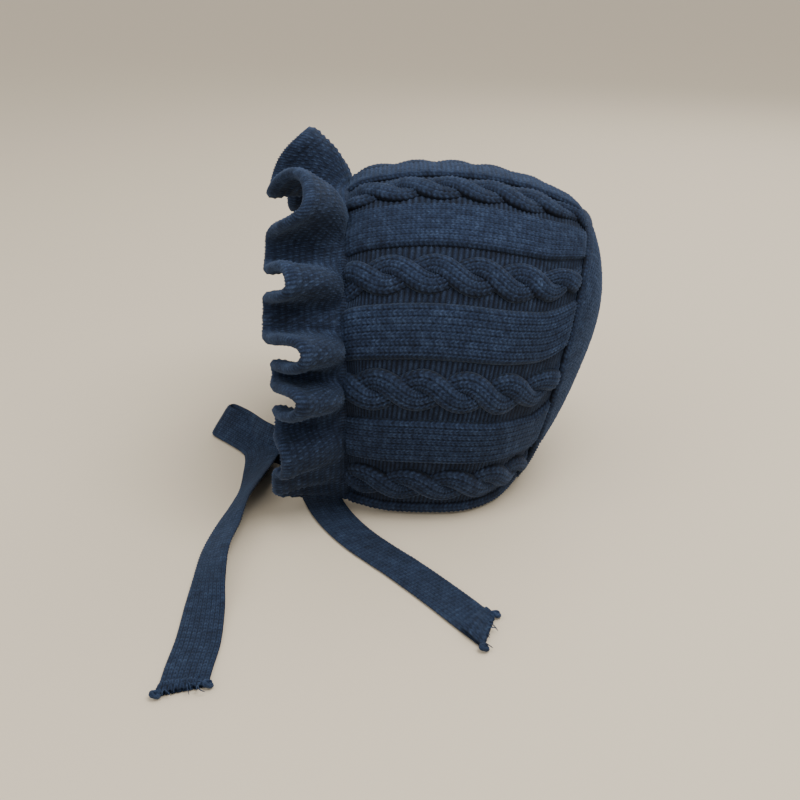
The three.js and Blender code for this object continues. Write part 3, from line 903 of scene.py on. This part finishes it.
def wool(name, shade, light, dark):
    """Matte wool: mottled colour, with painted shade in the grooves between stitches and painted light on
    their crests, and a fibre bump.
    """
    material = bpy.data.materials.new(name)
    material.use_nodes = True
    tree = material.node_tree
    link = tree.links.new
    shader = tree.nodes["Principled BSDF"]
    shader.inputs["Roughness"].default_value = 0.92
    shader.inputs["Specular IOR Level"].default_value = 0.25
    shader.inputs["Sheen Weight"].default_value = 0.12
    shader.inputs["Sheen Roughness"].default_value = 0.45
    shader.inputs["Sheen Tint"].default_value = (0.42, 0.6, 0.95, 1)
    place = tree.nodes.new("ShaderNodeTexCoord")
    fibre = node(tree, "ShaderNodeTexNoise", Scale=1900.0, Detail=3.0, Roughness=0.7)
    mottle = node(tree, "ShaderNodeTexNoise", Scale=260.0, Detail=4.0, Roughness=0.6)
    cloud = node(tree, "ShaderNodeTexNoise", Scale=28.0, Detail=2.0, Roughness=0.5)
    for texture in (fibre, mottle, cloud):
        link(place.outputs["Object"], texture.inputs["Vector"])
    blend = tree.nodes.new("ShaderNodeMix")
    blend.data_type = "FLOAT"
    blend.inputs[0].default_value = 0.5
    link(fibre.outputs["Fac"], blend.inputs[2])
    link(mottle.outputs["Fac"], blend.inputs[3])
    ramp = tree.nodes.new("ShaderNodeValToRGB")
    ramp.color_ramp.elements[0].position = 0.32
    ramp.color_ramp.elements[0].color = (*dark, 1)
    ramp.color_ramp.elements[1].position = 0.7
    ramp.color_ramp.elements[1].color = (*light, 1)
    middle = ramp.color_ramp.elements.new(0.5)
    middle.color = (*shade, 1)
    link(blend.outputs[0], ramp.inputs["Fac"])
    relief = tree.nodes.new("ShaderNodeAttribute")
    relief.attribute_name = "relief"
    # Painted shade and light: the relief attribute scales the colour from 0.14 in the deepest grooves to
    # 1.25 on the crests.
    depth = node(tree, "ShaderNodeMapRange", From_Min=-1.2, From_Max=0.9, To_Min=0.14, To_Max=1.25)
    link(relief.outputs["Fac"], depth.inputs["Value"])
    patch = node(tree, "ShaderNodeMapRange", From_Min=0.3, From_Max=0.7, To_Min=0.86, To_Max=1.12)
    link(cloud.outputs["Fac"], patch.inputs["Value"])
    # The painted groove shade times the random patches of tone.
    groove_shade_and_tone = tree.nodes.new("ShaderNodeMath")
    groove_shade_and_tone.operation = "MULTIPLY"
    link(depth.outputs["Result"], groove_shade_and_tone.inputs[0])
    link(patch.outputs["Result"], groove_shade_and_tone.inputs[1])
    colour = tree.nodes.new("ShaderNodeVectorMath")
    colour.operation = "SCALE"
    link(ramp.outputs["Color"], colour.inputs[0])
    link(groove_shade_and_tone.outputs[0], colour.inputs["Scale"])
    link(colour.outputs[0], shader.inputs["Base Color"])
    bump = node(tree, "ShaderNodeBump", Strength=0.75, Distance=0.0004)
    link(blend.outputs[0], bump.inputs["Height"])
    link(bump.outputs["Normal"], shader.inputs["Normal"])
    return material


def finish(piece, material, slot, *nodes):
    """Gives a piece its wool and its place in the frame."""
    piece.data.materials.clear()
    piece.data.materials.append(material)
    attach(piece, "root")
    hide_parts(*nodes)


# ---------------------------------------------------------------- the scene

# The camera: its place, its turn up from straight down, and its lens over half its picture's width.
CAMERA_PLACE = (-20.5, -503.1, 232.7)
CAMERA_TILT = 67.6
CAMERA_REACH = 2.75


def camera():
    """A camera on the bonnet's near side, that looks down at it."""
    data = bpy.data.cameras.new("camera")
    data.sensor_fit = "AUTO"
    data.angle = 2 * math.atan(1 / CAMERA_REACH)
    data.clip_start = 0.01
    made = bpy.data.objects.new("camera", data)
    made.location = (np.array(CAMERA_PLACE) + SHIFT) * MM
    made.rotation_euler = (math.radians(CAMERA_TILT), 0, 0)
    bpy.context.scene.collection.objects.link(made)
    bpy.context.scene.camera = made


def area_light(name, place, size, power, colour):
    """A soft light, aimed at the bonnet's lower half."""
    data = bpy.data.lights.new(name, "AREA")
    data.size = size
    data.energy = power
    data.color = colour
    made = bpy.data.objects.new(name, data)
    made.location = place
    aim = -made.location
    aim.z += 0.06
    made.rotation_euler = aim.to_track_quat("-Z", "Y").to_euler()
    bpy.context.scene.collection.objects.link(made)


def studio():
    """A plain pale floor, three soft lights and an even sky."""
    deselect()
    bpy.ops.mesh.primitive_plane_add(size=12)
    floor = bpy.context.object
    floor.name = "floor"
    material = bpy.data.materials.new("pale_floor")
    material.use_nodes = True
    shader = material.node_tree.nodes["Principled BSDF"]
    shader.inputs["Base Color"].default_value = (0.69, 0.61, 0.48, 1)
    shader.inputs["Roughness"].default_value = 0.7
    floor.data.materials.append(material)
    area_light("key", (0.35, -0.35, 1.1), 0.8, 12, (1.0, 0.97, 0.93))
    area_light("fill", (-0.9, -0.7, 0.6), 0.9, 3.5, (0.97, 0.98, 1.0))
    area_light("rim", (0.5, 0.9, 0.8), 0.7, 4.5, (1.0, 0.98, 0.95))
    world = bpy.data.worlds.new("studio")
    world.use_nodes = True
    world.node_tree.nodes["Background"].inputs["Color"].default_value = (1.0, 0.95, 0.88, 1)
    world.node_tree.nodes["Background"].inputs["Strength"].default_value = 0.8
    bpy.context.scene.world = world


camera()
studio()

NAVY = (0.0148, 0.0275, 0.066)
NAVY_LIGHT = (0.045, 0.074, 0.15)
NAVY_DARK = (0.004, 0.008, 0.022)
knit_wool = wool("knit_wool", NAVY, NAVY_LIGHT, NAVY_DARK)
frill_wool = wool("frill_wool", (0.017, 0.031, 0.073), (0.052, 0.084, 0.168), NAVY_DARK)
rib_wool = wool("rib_wool", (0.0135, 0.026, 0.061), (0.036, 0.062, 0.125), (0.004, 0.008, 0.021))

# Each tie's edges, the rows and the rise of its hem, and how far the cut's slant moves each edge.
TIES = (
    ("tie_left", LEFT_TIE, 0, 1.6, 0.0, 0.0),
    ("tie_right", np.concatenate([RIGHT_ROOT, flat_edges(RIGHT_TIE)]), 2, 2.4, 9.0, -5.0),
)
for node_name, rows, hem_rows, hem_rise, cut_low, cut_high in TIES:
    piece, cut_end, path, length = tie(node_name + "_rib", rows, hem_rows, hem_rise, cut_low, cut_high)
    finish(piece, rib_wool, "tie_rib", node_name)
    finish(cut_end, rib_wool, "tie_rib", node_name)

ground = crown_ground()
finish(ground, knit_wool, "crown_knit", "crown")
crown = join("crown_knit", [front_seam()] + crown_strips())
finish(crown, knit_wool, "crown_knit", "crown")

strands = []
for side, word in ((-1, "left"), (1, "right")):
    for number, cable in enumerate(CABLES):
        start = 0.35 + 0.9 * number
        strands.append(cable_strand(f"{word}{number}a", cable, start, side))
        strands.append(cable_strand(f"{word}{number}b", cable, start + math.pi, side))
cables = join("crown_cables", strands)
finish(cables, knit_wool, "crown_knit", "crown")

panel = back_panel()
finish(panel, knit_wool, "back_knit", "back_panel")

frill, frill_edge = ruffle()
frill.name = "ruffle_knit"
finish(frill, frill_wool, "ruffle_knit", "ruffle")
